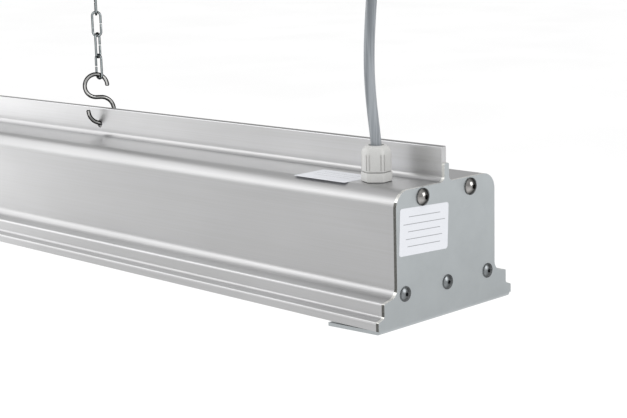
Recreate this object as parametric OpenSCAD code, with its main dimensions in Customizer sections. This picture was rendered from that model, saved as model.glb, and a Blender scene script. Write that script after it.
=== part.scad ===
// Hanging shop light: an extruded housing on two link chains, with a supply
// cable. The origin lies on the ceiling, midway between the two ceiling hooks.
// +X runs along the lamp, +Z points up, so the lamp hangs below the origin.
// Heights named _h are measured from the lower edge of the end plates.

/* [Housing profile] */
// Length of the lamp over both end plates
lamp_len = 1200; // [900:10:1800]
// Width of the driver bay
bay_w = 103; // [90:0.5:125]
// How far the skirt's step stands out from the bay on each side
step_reach = 12.75; // [11:0.25:14]
// How far the skirt's lip stands out from the step on each side
lip_reach = 5.75; // [4.5:0.25:8]
// Height of the lip's outer corner
lip_h = 8.9; // [8.6:0.1:10]
// Height of the step's outer corner
step_h = 20.4; // [20:0.1:22]
// Height of the top face
top_h = 93.3; // [86:0.1:110]
// Fall of the lip's top face, in degrees
lip_slope = 20; // [10:1:25]
// Fall of the step's top face, in degrees
step_slope = 12; // [6:1:14]
// Radius of the two upper corners
corner_r = 12; // [8:0.5:14]
// Radius of the hollow between step and bay wall
step_fillet_r = 7; // [4:0.5:8]
// Radius of the hollow between lip and step
lip_fillet_r = 2.2; // [1.5:0.1:2.6]
// Radius of the small outer corners
edge_r = 1; // [0.6:0.1:1.4]
// Thickness of the bay walls
wall_t = 2.5; // [2:0.1:3]
// Thickness of the bay's roof
roof_t = 3; // [2.5:0.1:4]
// Thickness of the skirt beside the light chamber
skirt_t = 3.5; // [3:0.1:4]
// Thickness of the web that carries the light boards
web_t = 3; // [2.5:0.1:3.4]

/* [Hanging fin] */
// Thickness of the fin
fin_t = 4.7; // [4.4:0.1:5.4]
// Height of the fin's top edge above the top face
fin_rise = 24; // [22:0.1:30]
// Radius of the hollows at the fin's foot
fin_foot_r = 4; // [2:0.5:5]
// Radius of the fin's top corners
fin_edge_r = 1.2; // [0.6:0.1:1.6]
// Bore of the two hanging holes
hole_d = 6.5; // [6.4:0.1:7.5]
// Distance from the fin's top edge down to the holes
hole_drop = 14.2; // [13.6:0.1:16]
// Distance between the two hanging holes
hole_spacing = 428; // [300:2:600]

/* [Light opening] */
// Thickness of the clear cover
pane_t = 2; // [1.6:0.1:2.2]
// How far the cover's edges reach into their slots
pane_bite = 5; // [4:0.5:6]
// Thickness of the ledge under the cover's edges
ledge_t = 1.4; // [1.2:0.1:1.6]
// Thickness of the sealing strips
strip_t = 0.9; // [0.7:0.1:1]

/* [End plates] */
// Thickness of the end plates
plate_t = 2.5; // [2:0.1:3]
// Height of the tongue that covers the fin's foot, above the top face
tongue_rise = 12.7; // [8:0.1:14]
// Length of the bent flange under the housing
flange_len = 48; // [30:1:70]
// How far the flange stays in from the lip's faces
flange_inset = 1.5; // [1:0.1:4]
// How far the flange drops towards its free end
flange_drop = 1.6; // [0:0.1:2.4]

/* [End screws] */
// Diameter of the lower screws' button heads
low_head_d = 10.5; // [9:0.1:11]
// Height of the lower screws' heads
low_head_h = 3.3; // [2.6:0.1:3.6]
// Diameter of the upper screws' domed heads
high_head_d = 12; // [11:0.1:13]
// Height of the upper screws' heads
high_head_h = 4.6; // [3.6:0.1:5]
// Width across the corners of the screws' sockets
socket_d = 3.4; // [3:0.1:4]
// Width of the rim around the lower screws' domes
low_rim_w = 0.8; // [0.4:0.1:1.2]
// Width of the rim around the upper screws' domes
high_rim_w = 0.3; // [0.2:0.1:0.8]
// Diameter of the screws' shanks
screw_d = 5; // [4.4:0.1:5.2]
// Length of the screws under the head
screw_len = 22; // [14:1:30]
// Distance of the outer lower screws from the bay's outer faces
low_inset = 8.1; // [7.6:0.1:9.5]
// Height of the lower screws
low_h = 23.5; // [23.2:0.1:23.8]
// Distance between the upper screws
high_spacing = 49.8; // [44:0.1:54]
// Distance of the upper screws below the top face
high_drop = 6.8; // [6.6:0.1:7.2]

/* [Light boards] */
// Number of boards in each of the two rows
board_count = 4; // [3:1:6]
// Thickness of a board
board_t = 1.6; // [1:0.1:2]
// Gap between boards in a row
board_gap = 15; // [14:1:24]
// Number of light sources along one board
chip_count = 14; // [8:1:16]
// Edge length of a light source
chip_w = 3.5; // [2.8:0.1:4]
// Height of a light source
chip_t = 0.8; // [0.5:0.1:1.2]

/* [Driver] */
// Length of the driver's case
driver_len = 240; // [180:5:280]
// Width of the driver's case
driver_w = 68; // [60:1:72]
// Height of the driver's case
driver_t = 38; // [30:1:40]
// Distance from the lamp's middle to the case
driver_start = 60; // [50:1:70]

/* [Cable gland] */
// Distance of the gland from the end plate's outer face
gland_inset = 39.5; // [34:0.5:50]
// Distance of the gland from the fin's middle plane
gland_y = 27; // [24:0.5:30]
// Width across the flats of the gland's hexagons
gland_af = 19; // [18.4:0.1:20]
// Height of the gland's lower hexagon
gland_base_t = 6.4; // [5:0.1:8]
// Height of the dome nut
dome_t = 17.9; // [17:0.1:22]
// Outer diameter of the dome nut
dome_d = 20.7; // [20.2:0.1:21.6]
// Diameter of the threaded spigot
spigot_d = 15.2; // [14.6:0.1:15.6]
// Diameter of the supply cable
cable_d = 7.4; // [7:0.1:8.4]
// Sideways bow of the free cable, along the lamp and across it
cable_bow = 2.6; // [0:0.1:3]

/* [Chains and hooks] */
// Diameter of the chain's wire
link_wire = 2; // [1.8:0.1:2.1]
// Inner width of a link
link_in_w = 5; // [4.8:0.1:5.6]
// Inner length of a link
link_in_len = 18.4; // [17:0.1:20]
// Gap at the butted ends of a link
link_split = 0.6; // [0.3:0.1:0.9]
// Diameter of the S-hooks' wire
s_wire = 3.6; // [3:0.1:3.8]
// Radius of the S-hooks' upper bows at the wire's centre
s_r = 9.8; // [9.4:0.1:10.2]
// Radius of the S-hooks' lower bows at the wire's centre
s_low_r = 11.2; // [10:0.1:11.4]
// Height between the centres of an S-hook's two bows
s_rise = 21.1; // [21:0.1:23]
// Sideways distance between the centres of the two bows
s_shift = 3.4; // [2.4:0.1:4]
// Diameter of the ceiling hooks' wire
eye_wire = 3.5; // [3:0.1:3.7]
// Radius of the ceiling hooks' bows at the wire's centre
eye_r = 9.75; // [9:0.05:10.5]
// Distance from the ceiling to the seat in the hook
eye_drop = 34.54; // [33:0.02:44]

/* [Ceiling fittings] */
// Diameter of the ceiling hooks' collars
collar_d = 12; // [9:0.5:16]
// Thickness of the collars
collar_t = 2; // [1.5:0.1:2.4]
// Diameter of the screw that goes into the ceiling
lag_d = 4; // [3.6:0.1:5]
// Length of the screw that goes into the ceiling
lag_len = 25; // [20:1:40]
// Diameter of the cable outlet's flange
outlet_d = 84; // [80:1:100]
// Thickness of the outlet's flange
outlet_t = 3; // [2.5:0.1:3.4]
// Outer diameter of the outlet's bell mouth
bell_d = 42; // [41:0.5:46]
// Wall of the bell mouth
bell_wall = 2.5; // [2:0.1:3]
// Reach of the bell mouth below the ceiling
bell_drop = 25; // [20:0.5:27]
// Distance between the outlet's two screw holes
outlet_spacing = 62; // [60:0.5:66]
// Diameter of the outlet's screw holes
outlet_hole_d = 4.4; // [4:0.1:5]

/* [Hidden] */
$fn = 48;
// Overrun of every cut past the face that it opens
over = 1;

// Play between two wires that hang in each other
link_gap = 0.3;
// Radial play of the end screws in their ports and of the screws in the plates
port_play = 0.15;
plate_play = 0.6;
// Wall of a screw port
port_wall = 2;
// Radial play of the gland's spigot, its locknut and the cable in the gland
spigot_play = 0.2;
nut_play = 0.1;
cable_play = 0.1;
// Free room over the cover in its slots
pane_play = 0.3;
// Room between the cover's edge and the bottom of its slot
pane_edge_play = 0.5;
// Room between the profile's lower edge and the flange, also the inner bend radius
bend_r = 0.3;
// Room around the gland's locknut in the screw port beside it
nut_room = 1;
// Room between the inner pieces and the middle screw port
port_room = 0.5;
// Room between the free cable's end and the plate of the ceiling outlet
cable_end_room = 6;

// Directions of the hook and link planes, in degrees from +X
s_turn = 68;
link_turns = [147.5, 45.5, 114.5, 183];
eye_turn = 57.5;
// Where the S-hook's wire ends lie on the bows, in degrees
s_tip_turn = 4;
// How far the middle of the S-hook's wire lies above the hole's axis
s_seat = 0.4;
// Chamfer on the ends of a bent wire
tip_cut = 0.6;
// Radius of the bend between a ceiling hook's bow and its shank
neck_r = 4;
// Length of the straight end on the hook's open side
eye_leg = 3;

// Heights along a chain, from the ceiling down
link_pitch = link_in_len - link_gap;
seat_z = -eye_drop;
links_z = [for (i = [0:len(link_turns) - 1]) seat_z + link_gap - i * link_pitch - link_in_len / 2];
last_link_z = links_z[len(link_turns) - 1];
s_in_r = s_r - s_wire / 2;
s_up_z = last_link_z - link_in_len / 2 + link_gap - sqrt(pow(s_in_r, 2) - pow(s_shift, 2));
s_low_z = s_up_z - s_rise;
hole_z = s_low_z - s_low_r - s_seat;
fin_h = top_h + fin_rise;
tongue_h = top_h + tongue_rise;
hole_h = fin_h - hole_drop;
lamp_z = hole_z - hole_h;

// Sizes of the housing that follow from the above
profile_len = lamp_len - 2 * plate_t;
base_h = plate_t + bend_r;
step_w = bay_w + 2 * step_reach;
skirt_w = step_w + 2 * lip_reach;
web_low = low_h - web_t / 2;
web_top = low_h + web_t / 2;
roof_h = top_h - roof_t;
chamber_w = step_w - 2 * skirt_t;
bay_in_w = bay_w - 2 * wall_t;
slot_h = base_h + ledge_t;
slot_t = strip_t + pane_t + pane_play;
pane_w = chamber_w + 2 * pane_bite;
slot_w = pane_w + 2 * pane_edge_play;
port_d = screw_d + 2 * port_play;
port_r = port_d / 2 + port_wall;
high_h = top_h - high_drop;
low_y = bay_w / 2 - low_inset;
low_ys = [-low_y, 0, low_y];
high_ys = [-high_spacing / 2, high_spacing / 2];
flange_w = skirt_w - 2 * flange_inset;
port_rise = port_r - web_t / 2 + port_room;
bay_free_w = low_y - 2 * (port_r + port_room);

// Places inside the housing
gland_x = lamp_len / 2 - gland_inset;
board_pitch = (lamp_len - 2 * plate_t) / board_count;
board_len = board_pitch - board_gap;
board_w = bay_free_w;
board_y = low_y / 2;
board_low = web_low - board_t;
chip_pitch = board_len / chip_count;
board_screw_d = 5.5;
board_screw_t = 2;
driver_end = driver_start + driver_len;
cap_t = 2.5;
foot_len = 14;
foot_t = port_rise;
foot_screw_d = 8;
foot_screw_t = 2.6;
block_inset = 75;
block_x = gland_x - block_inset;
block_size = [24, bay_free_w, 18];
block_y = low_y / 2;
block_screw_d = 4;
wire_d = 2.2;
wire_gap = 8;
grommet_x = 0;
grommet_d = 11;
grommet_bore = 6;
grommet_lip = 1.2;
tail_len = 18;
tail_end_h = roof_h - tail_len;

// Route of the free cable, from inside the gland's dome up into the ceiling outlet
outlet_x = gland_x;
outlet_y = -gland_y;
washer_t = 0.3;
dome_wall = 2;
route_steps = 16;
bow_skew = 0.85;
route_low = lamp_z + top_h + washer_t + gland_base_t + dome_t;
route_high = -outlet_t - cable_end_room;
cable_foot = [gland_x, -gland_y, route_low - dome_wall];
cable_route = [for (i = [0:route_steps])
  let (t = i / route_steps, bow = cable_bow * pow(sin(180 * pow(t, bow_skew)), 1.5))
  [gland_x - bow, -gland_y - bow, route_low + (route_high - route_low) * t]];

// Places everything that belongs to the lamp
module at_lamp() {
  translate([0, 0, lamp_z]) children();
}

// Runs a flat section along X, its width across Y and its height up Z
module along_x(x, run) {
  translate([x, 0, 0]) rotate([90, 0, 90]) linear_extrude(run) children();
}

// Puts a copy at both chains
module at_right() {
  translate([hole_spacing / 2, 0, 0]) children();
}

module at_left() {
  translate([-hole_spacing / 2, 0, 0]) children();
}

// A straight-sided section with two rounded upper corners
module rounded_top(w, low, high, r) {
  translate([-w / 2, low]) square([w, high - low - r]);
  translate([r - w / 2, low]) square([w - 2 * r, high - low]);
  for (s = [-1, 1]) translate([s * (w / 2 - r), high - r]) circle(r);
}

// A closed outline from its right half, listed upwards
function both(right) = concat(right,
  [for (i = [len(right) - 1:-1:0]) [-right[i][0], right[i][1]]]);

// Height of a sloping top face at a distance from the middle plane
function slope_at(w, edge, slope, y) = edge + (w / 2 - y) * tan(slope);

// A ledge with a sloping top face and a rounded outer corner, up to the face within
module ledge(w, in_w, low, edge, slope) {
  c = [w / 2 - edge_r, edge - edge_r * (1 - sin(slope)) / cos(slope)];
  polygon(both([[w / 2, low], [w / 2, c[1]], c, c + edge_r * [sin(slope), cos(slope)],
    [in_w / 2, slope_at(w, edge, slope, in_w / 2)]]));
  for (s = [-1, 1]) translate([s * c[0], c[1]]) circle(edge_r);
}

// The hollow that blends a sloping ledge into the upright face within it
module hollow(w, in_w, edge, slope, r) {
  c = [in_w / 2 + r, edge + (r - (in_w / 2 + r - w / 2) * sin(slope)) / cos(slope)];
  difference() {
    polygon(both([c - (r + edge_r) * [sin(slope), cos(slope)], c]));
    for (s = [-1, 1]) translate([s * c[0], c[1]]) circle(r);
  }
}

// The outer outline, shared by the profile and the end plates
module outline(low, fin_top) {
  ledge(skirt_w, step_w, low, lip_h, lip_slope);
  hollow(skirt_w, step_w, lip_h, lip_slope, lip_fillet_r);
  ledge(step_w, bay_w, low, step_h, step_slope);
  hollow(step_w, bay_w, step_h, step_slope, step_fillet_r);
  rounded_top(bay_w, lip_h, top_h, corner_r);
  hollow(bay_w, fin_t, top_h, 0, fin_foot_r);
  rounded_top(fin_t, roof_h, fin_top, fin_edge_r);
}

// The light chamber between the web and the open lower edge, with the cover's slots
module chamber() {
  wide = chamber_w / 2;
  bay = bay_w / 2 - wall_t;
  polygon(both([[wide, base_h - over],
    [wide, slope_at(step_w, step_h, step_slope, wide) - wall_t],
    [bay, slope_at(step_w, step_h, step_slope, bay) - wall_t],
    [bay - wall_t, web_low]]));
  translate([-slot_w / 2, slot_h]) square([slot_w, slot_t]);
}

// Places a copy at every end screw
module at_low_screws() {
  for (y = low_ys) translate([y, low_h]) children();
}

module at_high_screws() {
  for (y = high_ys) translate([y, high_h]) children();
}

module profile_section() {
  difference() {
    union() {
      difference() {
        outline(base_h, fin_h);
        rounded_top(bay_in_w, web_top, roof_h, corner_r - wall_t);
        chamber();
      }
      at_low_screws() circle(port_r);
      at_high_screws() circle(port_r);
    }
    at_low_screws() circle(port_d / 2);
    at_high_screws() circle(port_d / 2);
  }
}

module housing_profile() {
  color("silver") at_lamp() difference() {
    along_x(-profile_len / 2, profile_len) profile_section();
    for (s = [-1, 1])
      translate([s * hole_spacing / 2, fin_t / 2 + over, hole_h])
        rotate([90, 0, 0]) cylinder(h = fin_t + 2 * over, d = hole_d);
    translate([gland_x, -gland_y, roof_h - over])
      cylinder(h = roof_t + 2 * over, d = spigot_d + 2 * spigot_play);
    translate([gland_x, -gland_y, high_h - port_r - over])
      cylinder(h = roof_h - high_h + port_r + over, d = gland_af / cos(30) + nut_room);
    translate([grommet_x, board_y, web_low - over])
      cylinder(h = web_t + 2 * over, d = grommet_d);
  }
}

// One end plate, with its outer face at x = 0 and the lamp on the side of -X
module end_plate() {
  bend = plate_t + bend_r;
  along_x(-plate_t, plate_t) difference() {
    outline(bend, tongue_h);
    at_low_screws() circle(screw_d / 2 + plate_play);
    at_high_screws() circle(screw_d / 2 + plate_play);
  }
  translate([-bend, flange_w / 2, bend]) rotate([90, 0, 0]) {
    rotate([0, 0, -90]) rotate_extrude(angle = 90) translate([bend_r, 0]) square([plate_t, flange_w]);
    translate([0, -bend]) linear_extrude(flange_w) polygon([[0, 0], [0, plate_t],
      [bend - flange_len, plate_t - flange_drop], [bend - flange_len, -flange_drop]]);
  }
}

module end_plate_right() {
  color("lightslategray") at_lamp() translate([lamp_len / 2, 0, 0]) end_plate();
}

module end_plate_left() {
  color("lightslategray") at_lamp() mirror([1, 0, 0]) translate([lamp_len / 2, 0, 0]) end_plate();
}

// A socket screw along X with a domed head on a rim, its head outside x = 0
module end_screw(head_d, head_h, rim_w) {
  rim_h = head_h / 4;
  cap_h = head_h - rim_h;
  cap_d = head_d - 2 * rim_w;
  ball_r = (pow(cap_d / 2, 2) + pow(cap_h, 2)) / (2 * cap_h);
  rotate([0, 90, 0]) {
    difference() {
      union() {
        cylinder(h = rim_h, d = head_d);
        intersection() {
          translate([0, 0, head_h - ball_r]) sphere(ball_r);
          cylinder(h = head_h, d = cap_d);
        }
      }
      translate([0, 0, head_h / 2]) cylinder(h = head_h, d = socket_d, $fn = 6);
    }
    translate([0, 0, -screw_len]) cylinder(h = screw_len, d = screw_d);
  }
}

module upper_screws() {
  for (y = high_ys) translate([lamp_len / 2, y, high_h]) end_screw(high_head_d, high_head_h, high_rim_w);
}

module lower_screws() {
  for (y = low_ys) translate([lamp_len / 2, y, low_h]) end_screw(low_head_d, low_head_h, low_rim_w);
}

module upper_screws_right() {
  color("dimgray") at_lamp() upper_screws();
}

module upper_screws_left() {
  color("dimgray") at_lamp() mirror([1, 0, 0]) upper_screws();
}

module lower_screws_right() {
  color("dimgray") at_lamp() lower_screws();
}

module lower_screws_left() {
  color("dimgray") at_lamp() mirror([1, 0, 0]) lower_screws();
}

module cover_pane() {
  color("azure", 0.4) at_lamp() translate([-profile_len / 2, -pane_w / 2, slot_h + strip_t])
    cube([profile_len, pane_w, pane_t]);
}

module cover_seals() {
  strip_w = pane_bite - pane_edge_play;
  color("black") at_lamp() for (s = [-1, 1])
    translate([-profile_len / 2, s * (pane_w / 2 - strip_w / 2) - strip_w / 2, slot_h])
      cube([profile_len, strip_w, strip_t]);
}

// Places a copy at the middle of every light board
module at_boards() {
  for (i = [0:board_count - 1]) for (s = [-1, 1])
    translate([(i + 0.5) * board_pitch - profile_len / 2, s * board_y, 0]) children();
}

module light_boards() {
  color("white") at_lamp() at_boards() translate([-board_len / 2, -board_w / 2, board_low])
    cube([board_len, board_w, board_t]);
}

module light_chips() {
  color("khaki") at_lamp() at_boards() for (i = [0:chip_count - 1]) for (s = [-1, 1])
    translate([(i + 0.5) * chip_pitch - board_len / 2, s * board_w / 4, board_low - chip_t / 2])
      cube([chip_w, chip_w, chip_t], center = true);
}

module board_screws() {
  color("lightgray") at_lamp() at_boards() for (s = [-1, 1])
    translate([s * (board_len / 2 - board_screw_d), 0, board_low - board_screw_t])
      cylinder(h = board_screw_t, d = board_screw_d);
}

module driver_case() {
  color("gray") at_lamp() translate([driver_start, -driver_w / 2, web_top + foot_t]) difference() {
    cube([driver_len, driver_w, driver_t]);
    for (y = [wire_gap:wire_gap:driver_w - wire_gap])
      translate([-over, y - wire_d / 2, driver_t - wire_d])
        cube([driver_len + 2 * over, wire_d, wire_d + over]);
  }
}

module driver_end_caps() {
  color("darkslategray") at_lamp() for (x = [driver_start - cap_t, driver_end]) {
    out = x < driver_start ? -foot_len : 0;
    translate([0, -driver_w / 2, web_top]) difference() {
      union() {
        translate([x, 0, 0]) cube([cap_t, driver_w, driver_t + foot_t]);
        translate([x + out, 0, 0]) cube([foot_len + cap_t, driver_w, foot_screw_t]);
      }
      translate([x - foot_len - over, driver_w / 2 - port_r - wall_t, -over])
        cube([2 * foot_len + cap_t + 2 * over, 2 * (port_r + wall_t), foot_t + over]);
    }
  }
}

module driver_screws() {
  color("lightgray") at_lamp()
    for (x = [driver_start - cap_t - foot_len / 2, driver_end + cap_t + foot_len / 2])
      for (s = [-1, 1]) translate([x, s * driver_w / 3, web_top + foot_screw_t])
        cylinder(h = foot_screw_t, d = foot_screw_d);
}

module terminal_block() {
  color("ivory") at_lamp() translate([block_x - block_size[0] / 2, -block_size[1] / 2 - block_y, web_top])
    difference() {
      cube(block_size);
      for (i = [-1, 0, 1])
        translate([block_size[0] / 2, block_size[1] / 2 + i * wire_gap, block_size[2] - block_screw_d])
          cylinder(h = block_screw_d + over, d = block_screw_d + wall_t);
    }
}

module terminal_screws() {
  color("goldenrod") at_lamp() for (i = [-1, 0, 1])
    translate([block_x, i * wire_gap - block_y, web_top + block_size[2] - block_screw_d])
      cylinder(h = block_screw_d / 2, d = block_screw_d);
}

module earth_screw() {
  color("goldenrod") at_lamp() translate([block_x + block_size[0] + foot_len, board_y, web_top]) {
    cylinder(h = board_t, d = foot_screw_d + wall_t);
    translate([0, 0, board_t]) cylinder(h = foot_screw_t, d = foot_screw_d);
  }
}

// A smooth curve between two places, with its two ends' directions
function curve(a, b, c, d, n) = [for (i = [0:n]) let (t = i / n, u = 1 - t)
  u * u * u * a + 3 * u * u * t * b + 3 * u * t * t * c + t * t * t * d];

function unit(v) = v / norm(v);

// Direction of a path at one of its points
function heading(path, i) = unit(path[min(i + 1, len(path) - 1)] - path[max(i - 1, 0)]);

// A round tube swept along a path, with its first side turned from a reference direction
module tube(path, r, sides, side) {
  rings = [for (i = [0:len(path) - 1])
    let (h = heading(path, i), u = unit(cross(side, h)), v = cross(h, u))
    for (k = [0:sides - 1]) path[i] + r * (cos(360 * k / sides) * u + sin(360 * k / sides) * v)];
  last = len(path) - 1;
  walls = [for (i = [0:last - 1]) for (k = [0:sides - 1])
    let (a = i * sides + k, b = i * sides + (k + 1) % sides)
    each [[a, a + sides, b], [b, a + sides, b + sides]]];
  polyhedron(rings, concat([[for (k = [0:sides - 1]) k]], walls,
    [[for (k = [sides - 1:-1:0]) last * sides + k]]));
}

wire_sides = 8;
wire_steps = 10;
cable_sides = 12;

// A wire that leaves its start along one direction and arrives along another
module wire(start, out, end, into) {
  tube(curve(start, start + out, end - into, end, wire_steps), wire_d / 2, wire_sides, [0, 1, 0]);
}

module supply_wires() {
  reach = tail_end_h - web_top - block_size[2] / 2;
  color("saddlebrown") at_lamp() for (i = [-1, 0, 1])
    wire([gland_x + i * wire_d, -gland_y + i * wire_d, tail_end_h], [0, 0, -reach / 2],
      [block_x + block_size[0] / 2, i * wire_gap - block_y, web_top + block_size[2] / 2],
      [-block_size[0], 0, 0]);
}

module driver_wires() {
  span = block_x - block_size[0] / 2 - driver_end - cap_t;
  color("saddlebrown") at_lamp() for (i = [-1, 0, 1])
    wire([block_x - block_size[0] / 2, i * wire_gap - block_y, web_top + block_size[2] / 2],
      [-span / 2, 0, 0],
      [driver_end + cap_t, i * wire_gap, web_top + foot_t + driver_t / 2], [-span / 2, 0, 0]);
}

module output_wires() {
  color("saddlebrown") at_lamp() for (s = [-1, 1])
    wire([driver_start - cap_t, s * wire_d + board_y, web_top + foot_t + driver_t / 2],
      [-driver_start / 2, 0, 0],
      [grommet_x, s * 0.7 * wire_d + board_y, web_low], [0, 0, -driver_t / 2]);
}

module wire_grommet() {
  color("black") at_lamp() translate([grommet_x, board_y, 0]) difference() {
    union() {
      translate([0, 0, web_low - grommet_lip])
        cylinder(h = web_t + 2 * grommet_lip, d = grommet_d - 2 * port_play);
      for (z = [web_low - grommet_lip, web_top]) translate([0, 0, z])
        cylinder(h = grommet_lip, d = grommet_d + 2 * grommet_lip);
    }
    translate([0, 0, web_low - grommet_lip - over])
      cylinder(h = web_t + 2 * (grommet_lip + over), d = grommet_bore);
  }
}

// Sizes inside the gland
spigot_len = 9;
nut_t = 5;
thread_d = 15.6;
thread_t = 8;
seal_d = 12.4;
dome_mouth_d = 10.6;
groove_w = 0.9;
groove_t = 0.6;
groove_share = 0.21;
grip_share = 0.62;
ball_share = 0.78;
gland_turn = -52;
gland_z = top_h + washer_t;
thread_top = gland_z + gland_base_t + thread_t;
dome_low = gland_z + gland_base_t;

// Places everything on the gland's axis
module at_gland() {
  at_lamp() translate([gland_x, -gland_y, 0]) children();
}

module hexagon(af, h) {
  rotate([0, 0, gland_turn - 30]) cylinder(h = h, d = af / cos(30), $fn = 6);
}

module gland_body() {
  color("gainsboro") at_gland() difference() {
    union() {
      translate([0, 0, gland_z]) intersection() {
        hexagon(gland_af, gland_base_t);
        cylinder(h = gland_base_t, d = gland_af + wall_t);
      }
      translate([0, 0, gland_z - washer_t - spigot_len])
        cylinder(h = spigot_len + washer_t + gland_base_t / 2, d = spigot_d);
      translate([0, 0, gland_z + gland_base_t / 2])
        cylinder(h = gland_base_t / 2 + thread_t, d = thread_d);
    }
    translate([0, 0, gland_z - washer_t - spigot_len - over])
      cylinder(h = spigot_len + washer_t + gland_base_t + over, d = cable_d + 2 * cable_play);
    translate([0, 0, dome_low]) cylinder(h = thread_t + over, d = seal_d);
  }
}

module gland_washer() {
  color("black") at_gland() translate([0, 0, top_h]) difference() {
    cylinder(h = washer_t, d = gland_af - washer_t);
    translate([0, 0, -over]) cylinder(h = washer_t + 2 * over, d = spigot_d + 2 * spigot_play);
  }
}

module gland_locknut() {
  color("gainsboro") at_gland() translate([0, 0, roof_h - nut_t]) difference() {
    hexagon(gland_af, nut_t);
    translate([0, 0, -over]) cylinder(h = nut_t + 2 * over, d = spigot_d + 2 * nut_play);
  }
}

module gland_seal() {
  lift = dome_t - dome_wall - link_gap;
  color("black") at_gland() translate([0, 0, dome_low]) difference() {
    cylinder(h = lift, d = seal_d - 2 * nut_play);
    translate([0, 0, -over]) cylinder(h = lift + 2 * over, d = cable_d + 2 * cable_play);
  }
}

module gland_dome_nut() {
  grip = grip_share * dome_t;
  ball_r = ball_share * dome_d;
  color("gainsboro") at_gland() translate([0, 0, dome_low + link_gap]) difference() {
    intersection() {
      hexagon(gland_af, dome_t);
      cylinder(h = dome_t, d = dome_d);
      translate([0, 0, dome_t - ball_r]) sphere(ball_r);
      translate([0, 0, -dome_t])
        cylinder(h = 2 * dome_t, d1 = 2.2 * dome_d, d2 = dome_mouth_d + 2 * dome_wall);
    }
    translate([0, 0, -over]) cylinder(h = thread_t + over, d = thread_d + 2 * nut_play);
    cylinder(h = dome_t - dome_wall, d = seal_d + 2 * nut_play);
    cylinder(h = dome_t + over, d = dome_mouth_d);
    for (a = [0:60:300]) rotate([0, 0, gland_turn + a]) for (s = [-1, 1])
      translate([gland_af / 2 - groove_t, s * groove_share * gland_af - groove_w / 2, dome_wall])
        cube([groove_t + over, groove_w, grip]);
  }
}

module cable_tail() {
  color("darkgray") at_gland() translate([0, 0, tail_end_h])
    cylinder(h = dome_low + dome_t - dome_wall - tail_end_h, d = cable_d);
}

// The free cable: straight inside the dome's mouth, then a ring at every second point of the route
module power_cable() {
  color("darkgray") tube(concat([cable_foot], [for (i = [0:2:route_steps]) cable_route[i]]),
    cable_d / 2, cable_sides, [0, 1, 0]);
}

// A wire bent to an arc in the XZ plane, its angles counted from +X towards +Z
module bow(r, d, from, sweep) {
  rotate([90, 0, 0]) rotate([0, 0, from]) rotate_extrude(angle = sweep) translate([r, 0]) circle(d / 2);
}

// One link, centred on its middle, its width along X
module chain_link() {
  bow_r = (link_in_w + link_wire) / 2;
  straight = link_in_len - link_in_w;
  leg = (straight - link_split) / 2;
  color("slategray") translate([0, 0, -straight / 2]) {
    bow(bow_r, link_wire, 180, 180);
    translate([-bow_r, 0, 0]) cylinder(h = straight, d = link_wire);
    translate([bow_r, 0, 0]) cylinder(h = leg, d = link_wire);
    translate([0, 0, straight]) {
      bow(bow_r, link_wire, 0, 180);
      translate([bow_r, 0, 0]) mirror([0, 0, 1]) cylinder(h = leg, d = link_wire);
    }
  }
}

module link_at(i) {
  translate([0, 0, links_z[i]]) rotate([0, 0, link_turns[i]]) chain_link();
}

module s_hook() {
  rise = s_up_z - s_low_z;
  both_r = s_r + s_low_r;
  apart = norm([s_shift, rise]);
  cross_turn = -atan2(rise, s_shift) - acos(both_r / apart);
  cross_len = sqrt(pow(apart, 2) - pow(both_r, 2));
  sweep = cross_turn + 360 + s_tip_turn;
  color("lightsteelblue") rotate([90, 0, s_turn]) translate([-s_shift, s_up_z]) rotate([0, 0, cross_turn]) {
    rotate_extrude(angle = -sweep) translate([s_r, 0]) circle(s_wire / 2);
    translate([s_r, 0]) {
      rotate([-90, 0, 0]) cylinder(h = cross_len, d = s_wire);
      translate([s_low_r, cross_len]) mirror([1, 0])
        rotate_extrude(angle = sweep) translate([s_low_r, 0]) circle(s_wire / 2);
    }
  }
}

module ceiling_hook() {
  shank = eye_drop - 2 * eye_r + eye_wire / 2 - neck_r;
  color("lightsteelblue") rotate([0, 0, eye_turn]) {
    translate([0, 0, seat_z + eye_r - eye_wire / 2]) {
      bow(eye_r, eye_wire, 0, -270);
      translate([eye_r, 0, 0]) cylinder(h = eye_leg, d = eye_wire);
      translate([eye_r, 0, eye_leg]) cylinder(h = tip_cut, d1 = eye_wire, d2 = eye_wire - tip_cut);
      translate([0, 0, eye_r + neck_r]) {
        bow(neck_r, eye_wire, -90, 90);
        translate([neck_r, 0, 0]) cylinder(h = shank, d = eye_wire);
      }
    }
    translate([neck_r, 0, -collar_t]) cylinder(h = collar_t, d = collar_d);
    translate([neck_r, 0, 0]) cylinder(h = lag_len - lag_d, d = lag_d);
    translate([neck_r, 0, lag_len - lag_d]) cylinder(h = lag_d, d1 = lag_d, d2 = 0);
  }
}

module ceiling_outlet() {
  r = bell_d / 2;
  in_r = r - bell_wall;
  color("whitesmoke") translate([outlet_x, outlet_y, 0]) difference() {
    union() {
      translate([0, 0, -outlet_t]) cylinder(h = outlet_t, d = outlet_d);
      translate([0, 0, -bell_drop]) cylinder(h = bell_drop, r = r);
    }
    translate([0, 0, -bell_drop - over]) cylinder(h = bell_drop + over - outlet_t, r = in_r);
    for (s = [-1, 1]) translate([s * outlet_spacing / 2, 0, -outlet_t - over])
      cylinder(h = outlet_t + 2 * over, d = outlet_hole_d);
  }
}

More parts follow.
